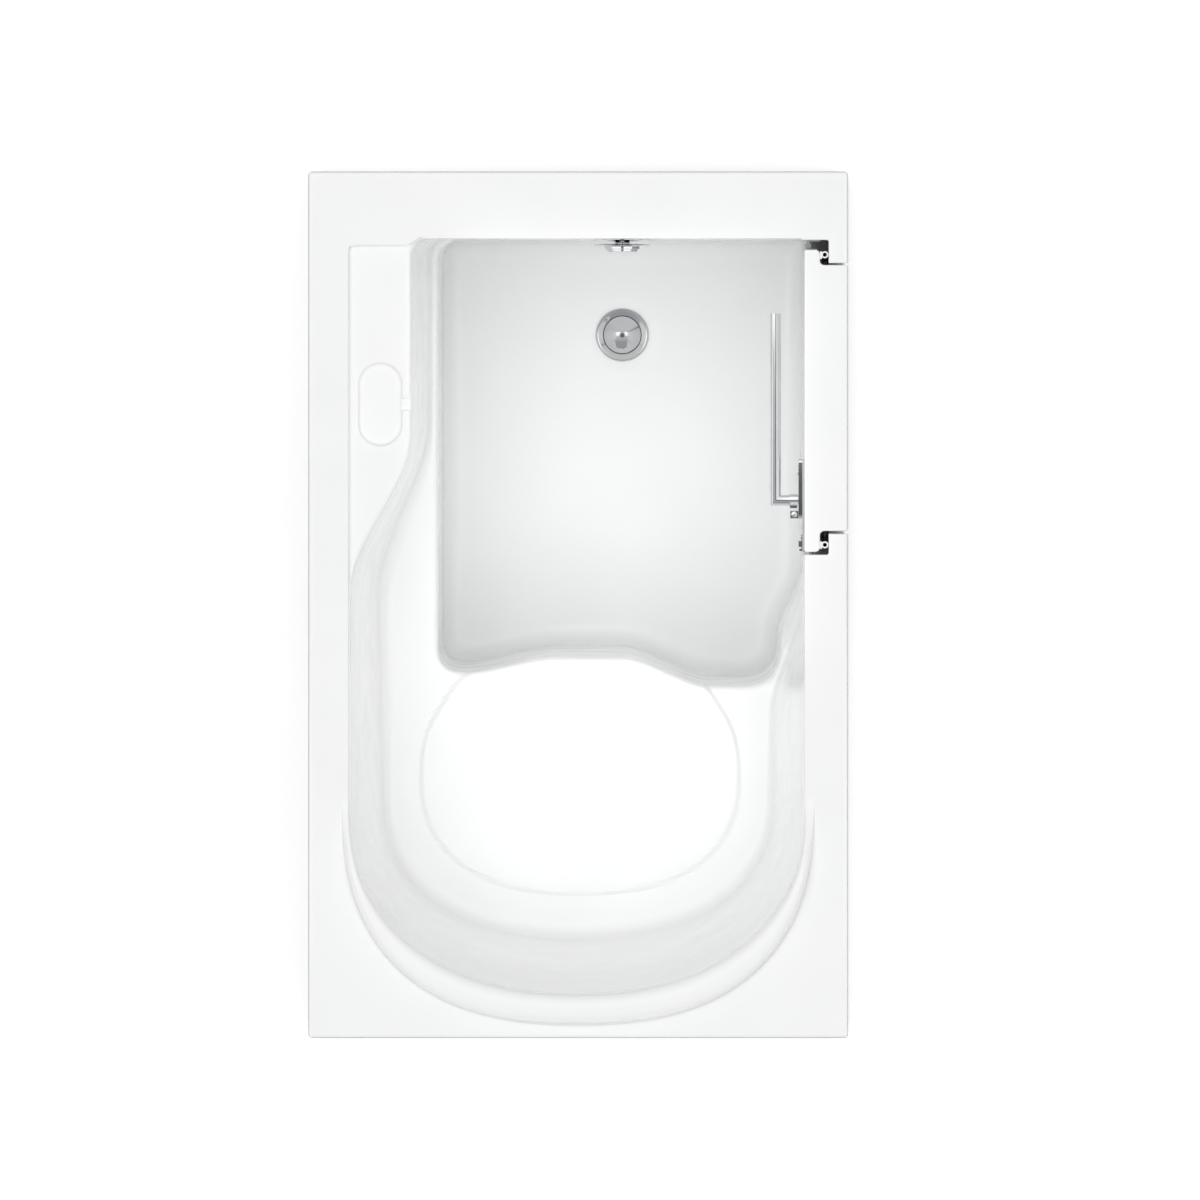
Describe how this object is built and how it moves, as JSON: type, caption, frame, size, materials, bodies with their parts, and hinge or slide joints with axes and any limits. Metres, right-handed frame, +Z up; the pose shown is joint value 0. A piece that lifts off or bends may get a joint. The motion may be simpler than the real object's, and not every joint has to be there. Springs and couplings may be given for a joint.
{
  "type": "walk-in bathtub",
  "caption": "Free-standing white walk-in bathtub with an inward-opening sealed door, chrome lever, moulded seat, raised headrest roll, soap shelf, rotary overflow and pop-up plug.",
  "frame": {"origin": "middle of the tub in plan, on the floor it stands on", "axes": "+Z up, +X towards the door side, +Y towards the foot end with the waste and overflow"},
  "size_m": [0.76, 1.22, 0.9981],
  "materials": {
    "acrylic": "glossy white sanitary acrylic",
    "board": "plain plywood",
    "galvanised_steel": "galvanised tube",
    "foot_rubber": "matte black rubber",
    "zinc_steel": "zinc plated",
    "stainless": "satin stainless steel",
    "chrome": "polished chrome",
    "brass": "plain brass",
    "black_abs": "black pipe plastic",
    "foam": "rigid foam",
    "seal_rubber": "white rubber"
  },
  "bodies": {
    "tub": {"tub_shell": "acrylic", "door_surround": "acrylic", "floor_board": "board", "seat_board": "board", "base_frame": "galvanised_steel", "floor_joists": "galvanised_steel", "frame_posts": "galvanised_steel", "deck_rails": "galvanised_steel", "seat_joists": "galvanised_steel", "foot_pads": "foot_rubber", "foot_screws": "zinc_steel", "foot_lock_nuts": "zinc_steel", "door_side_panel": "acrylic", "foot_end_panel": "acrylic", "head_end_panel": "acrylic", "panel_screws": "stainless", "waste_flange": "chrome", "waste_gasket": "foot_rubber", "waste_nut": "brass", "waste_shoe": "black_abs", "waste_tee": "black_abs", "pipe_nuts": "black_abs", "overflow_pipe": "black_abs", "overflow_elbow": "black_abs", "overflow_gasket": "foot_rubber", "overflow_plate": "chrome", "release_cable": "black_abs", "hinge_jamb_leaf": "stainless", "hinge_pin": "stainless", "hinge_screws": "stainless", "keeper": "stainless", "keeper_screws": "stainless"},
    "door": {"hinge_door_leaf": "stainless", "door_inner_skin": "acrylic", "door_outer_skin": "acrylic", "door_frame": "galvanised_steel", "door_core": "foam", "door_seal": "seal_rubber", "lever_backplate": "chrome", "lever_cover": "chrome", "cover_screws": "chrome", "lever_stop": "chrome", "stop_screw": "chrome", "latch_guide": "chrome", "guide_screws": "chrome", "lock_case": "zinc_steel"},
    "lever": {"lever_handle": "chrome", "lever_spindle": "stainless", "grub_screw": "zinc_steel"},
    "latch": {"latch_bolt": "stainless"},
    "knob": {"overflow_knob": "chrome"},
    "plug": {"plug": "chrome", "plug_ring": "foot_rubber"}
  },
  "joints": [
    {"name": "door_swing", "type": "hinge", "parent": "tub", "child": "door", "pos_m": [0.3235, 0.5058, 0.6], "axis": [0, 0, -1], "range_deg": [0, 64]},
    {"name": "lever_turn", "type": "hinge", "parent": "door", "child": "lever", "pos_m": [0.3, 0.147, 0.8], "axis": [1, 0, 0], "range_deg": [0, 90]},
    {"name": "latch_slide", "type": "slide", "parent": "door", "child": "latch", "axis": [0, 1, 0], "range_m": [0, 0.0127]},
    {"name": "knob_turn", "type": "hinge", "parent": "tub", "child": "knob", "pos_m": [0.062, 0.51, 0.84], "axis": [0, -1, 0], "range_deg": [0, 90]},
    {"name": "plug_lift", "type": "slide", "parent": "tub", "child": "plug", "axis": [0, 0, 1], "range_m": [0, 0.012]}
  ],
  "couplings": [
    {"joint": "latch_slide", "follows": "lever_turn", "m_per_rad": 0.008},
    {"joint": "plug_lift", "follows": "knob_turn", "m_per_rad": 0.0076}
  ]
}
